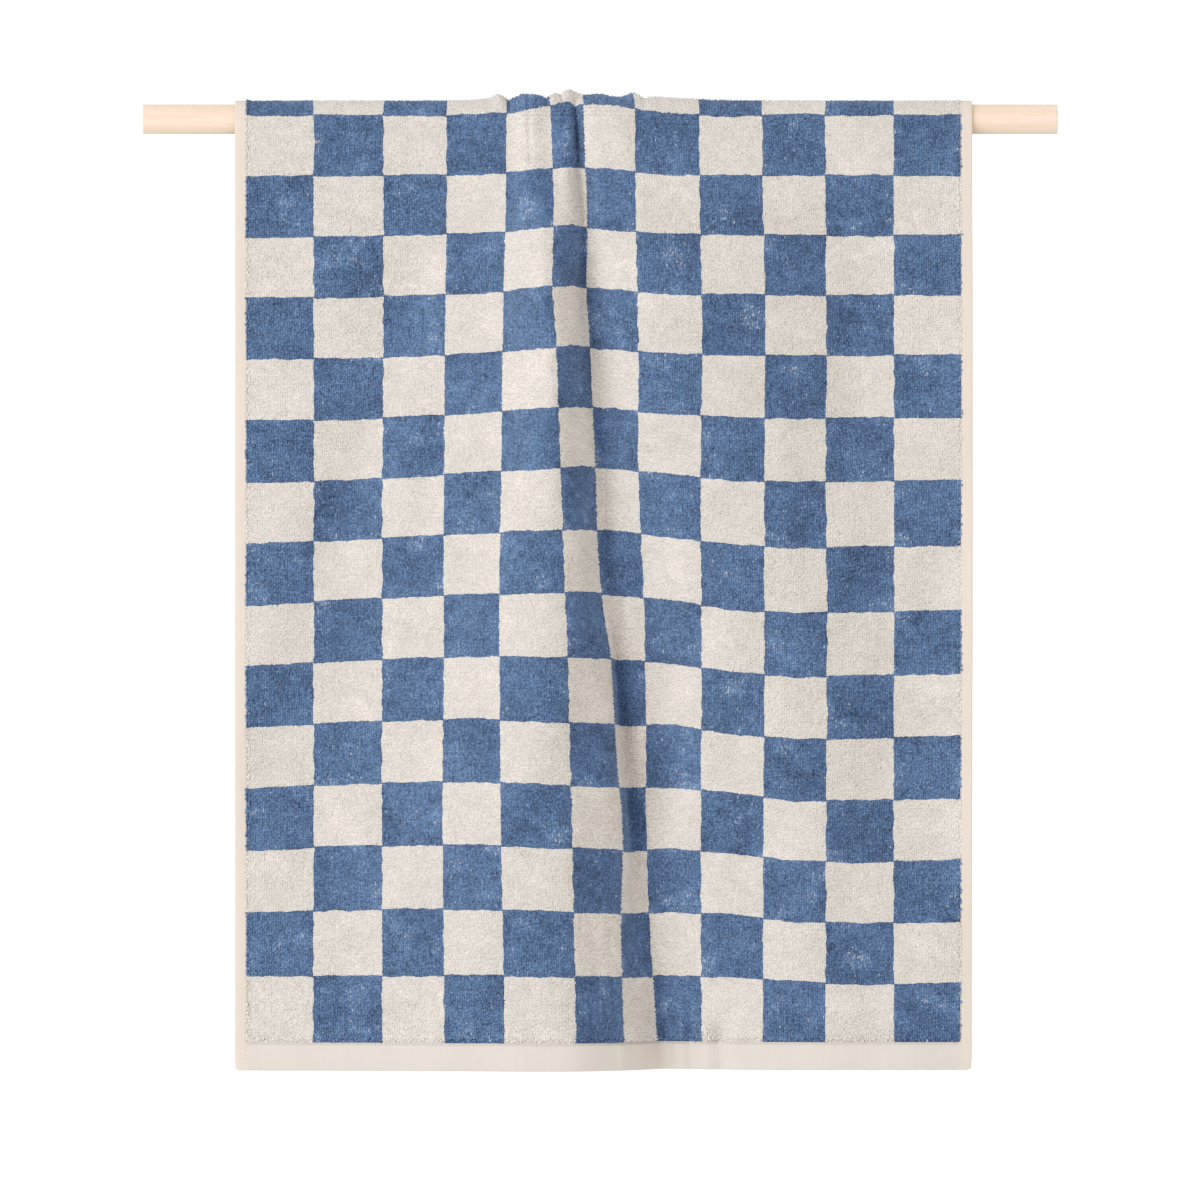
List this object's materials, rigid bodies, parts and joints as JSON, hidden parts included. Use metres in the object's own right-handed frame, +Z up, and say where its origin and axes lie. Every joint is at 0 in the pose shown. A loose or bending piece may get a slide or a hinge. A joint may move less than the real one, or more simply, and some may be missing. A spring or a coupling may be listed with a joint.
{
  "type": "hand towel on a wooden bar",
  "caption": "Checked terry hand towel hung over a round wooden bar, with a long front drop, a shorter back drop and one deep fold.",
  "frame": {"origin": "centre of the bar's left end face, seen from the side of the long front drop", "axes": "+X along the bar to its right end, -Y towards the viewer of the long front drop, +Z up"},
  "size_m": [0.555, 0.0826, 0.5935],
  "materials": {
    "terry": "blue and cream checked cotton terry with short loops, and flat woven cream hems",
    "pale_wood": "pale bare beech, fine straight grain, matt"
  },
  "bodies": {
    "root": {"towel": "terry", "bar": "pale_wood"}
  },
  "joints": []
}
